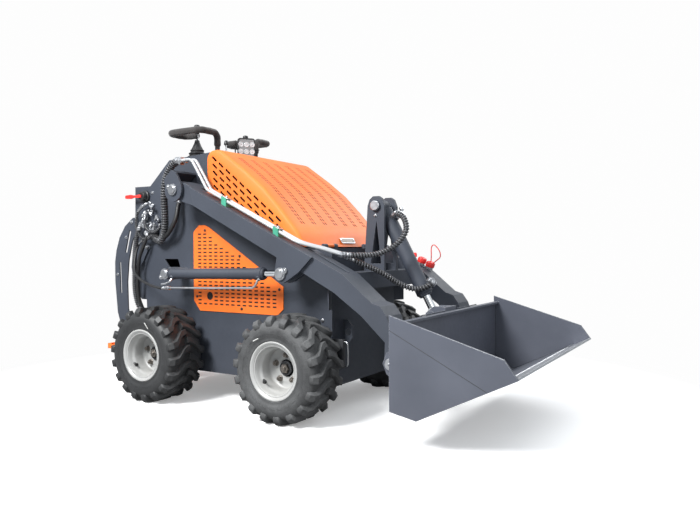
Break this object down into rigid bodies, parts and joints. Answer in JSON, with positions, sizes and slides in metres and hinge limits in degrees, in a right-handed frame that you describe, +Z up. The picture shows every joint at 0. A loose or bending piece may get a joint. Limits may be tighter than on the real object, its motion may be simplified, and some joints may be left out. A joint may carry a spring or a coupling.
{
  "type": "stand-on skid steer loader",
  "caption": "Compact wheeled skid steer loader with twin lift arms, a tilting bucket, a slotted tilting hood and a fold-up stand behind for the operator.",
  "frame": {"origin": "on the ground under the middle of the machine, with the arms down and the stand lowered", "axes": "+X forward to the bucket, +Y to the left of the machine, +Z up"},
  "size_m": [2.439, 1.134, 1.374],
  "materials": {
    "body_paint": "semi-gloss dark blue-grey paint",
    "panel_paint": "satin orange paint",
    "rim_paint": "gloss silver-white paint",
    "tyre": "matt rubber",
    "steel": "zinc plated, satin",
    "rod_chrome": "polished",
    "castings": "rough cast, painted dark",
    "black_plastic": "matt, fine grain",
    "grip_foam": "matt foam over steel tube",
    "worn_edge": "bare worn plate"
  },
  "bodies": {
    "chassis": {"side_plate_left": "body_paint", "side_plate_right": "body_paint", "belly_plate": "body_paint", "front_plate": "body_paint", "rear_plate": "body_paint", "engine_block": "castings", "console_top": "body_paint", "hood_shelves": "body_paint", "pivot_ears": "body_paint", "side_panel_left": "panel_paint", "side_panel_right": "panel_paint", "rear_guards": "body_paint", "grab_handles": "grip_foam", "joysticks": "black_plastic", "throttle_lever": "black_plastic", "work_lamp": "black_plastic", "wheel_motors": "castings", "pivot_pins": "steel", "cylinder_base_pins": "steel"},
    "arms": {"lift_arm_left": "body_paint", "lift_arm_right": "body_paint", "cross_beam": "body_paint", "tilt_tower": "body_paint", "arm_pins": "steel", "arm_tubes": "steel", "tube_clamps": "body_paint"},
    "bucket_frame": {"attach_plate": "body_paint", "hinge_pins": "steel", "bucket": "body_paint", "cutting_edge": "worn_edge"},
    "hood_cover": {"hood": "panel_paint"},
    "stand": {"stand_platform": "panel_paint"},
    "lift_cylinders": {"lift_barrels": "body_paint"},
    "lift_pistons": {"lift_rods": "rod_chrome"},
    "tilt_cylinder": {"tilt_barrel": "body_paint"},
    "tilt_piston": {"tilt_rod": "rod_chrome"},
    "wheel_front_right": {"rim_front_right": "rim_paint", "tyre_front_right": "tyre"},
    "wheel_front_left": {"rim_front_left": "rim_paint", "tyre_front_left": "tyre"},
    "wheel_rear_right": {"rim_rear_right": "rim_paint", "tyre_rear_right": "tyre"},
    "wheel_rear_left": {"rim_rear_left": "rim_paint", "tyre_rear_left": "tyre"}
  },
  "joints": [
    {"name": "wheel_front_right_spin", "type": "hinge", "parent": "chassis", "child": "wheel_front_right", "pos_m": [0.1875, -0.432, 0.2285], "axis": [0, 1, 0], "continuous": true},
    {"name": "wheel_front_left_spin", "type": "hinge", "parent": "chassis", "child": "wheel_front_left", "pos_m": [0.1875, 0.432, 0.2285], "axis": [0, 1, 0], "continuous": true},
    {"name": "wheel_rear_right_spin", "type": "hinge", "parent": "chassis", "child": "wheel_rear_right", "pos_m": [-0.6125, -0.432, 0.2285], "axis": [0, 1, 0], "continuous": true},
    {"name": "wheel_rear_left_spin", "type": "hinge", "parent": "chassis", "child": "wheel_rear_left", "pos_m": [-0.6125, 0.432, 0.2285], "axis": [0, 1, 0], "continuous": true},
    {"name": "arm_lift", "type": "hinge", "parent": "chassis", "child": "arms", "pos_m": [-0.4805, 0, 1.017], "axis": [0, -1, 0], "range_deg": [-2.3, 75]},
    {"name": "bucket_tilt", "type": "hinge", "parent": "arms", "child": "bucket_frame", "pos_m": [0.6875, 0, 0.29], "axis": [0, 1, 0], "range_deg": [0, 90]},
    {"name": "lift_barrel_turn", "type": "hinge", "parent": "chassis", "child": "lift_cylinders", "pos_m": [-0.5685, 0, 0.6145], "axis": [0, -1, 0], "range_deg": [-3, 56]},
    {"name": "lift_rod_slide", "type": "slide", "parent": "lift_cylinders", "child": "lift_pistons", "axis": [0.9999, 0, 0.0165], "range_m": [-0.02, 0.39]},
    {"name": "tilt_barrel_turn", "type": "hinge", "parent": "arms", "child": "tilt_cylinder", "pos_m": [0.4125, 0, 0.927], "axis": [0, -1, 0], "range_deg": [0, 7]},
    {"name": "tilt_rod_slide", "type": "slide", "parent": "tilt_cylinder", "child": "tilt_piston", "axis": [0.4748, 0, -0.8801], "range_m": [0, 0.21]},
    {"name": "hood_open", "type": "hinge", "parent": "chassis", "child": "hood_cover", "pos_m": [0.2345, 0, 0.747], "axis": [0, 1, 0], "range_deg": [0, 42]},
    {"name": "stand_fold", "type": "hinge", "parent": "chassis", "child": "stand", "pos_m": [-0.8485, 0, 0.193], "axis": [0, 1, 0], "range_deg": [0, 85]}
  ],
  "couplings": [
    {"joint": "lift_barrel_turn", "follows": "arm_lift", "ratio": 0.7278},
    {"joint": "lift_rod_slide", "follows": "arm_lift", "m_per_rad": 0.2958},
    {"joint": "tilt_barrel_turn", "follows": "bucket_tilt", "ratio": 0.0702},
    {"joint": "tilt_rod_slide", "follows": "bucket_tilt", "m_per_rad": 0.1326}
  ]
}
